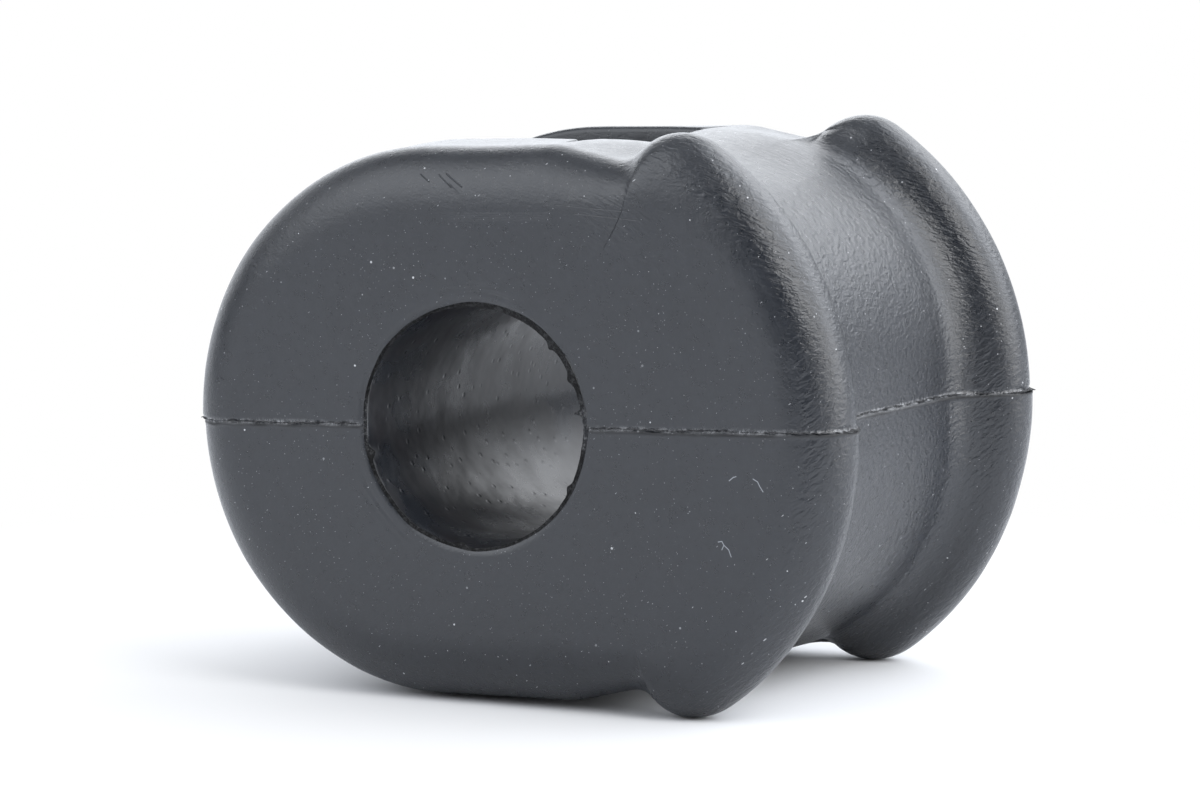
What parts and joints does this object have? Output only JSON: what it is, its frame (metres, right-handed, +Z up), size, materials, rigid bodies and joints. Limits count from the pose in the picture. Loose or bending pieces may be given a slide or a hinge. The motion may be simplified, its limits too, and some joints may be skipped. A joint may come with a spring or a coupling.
{
  "type": "sway bar bushing",
  "caption": "Moulded black rubber bushing with a round bore, two end flanges with small ears, a bracket groove round the nose and a smooth saddle.",
  "frame": {"origin": "on the bore's axis at mid length", "axes": "+Y along the bore, +X from the round nose towards the eared flanges, +Z up, square to the mould's parting plane"},
  "size_m": [0.0657, 0.0456, 0.0506],
  "materials": {
    "rubber": "satin moulded rubber, fine leathery skin"
  },
  "bodies": {
    "root": {"bushing": "rubber"}
  },
  "joints": []
}
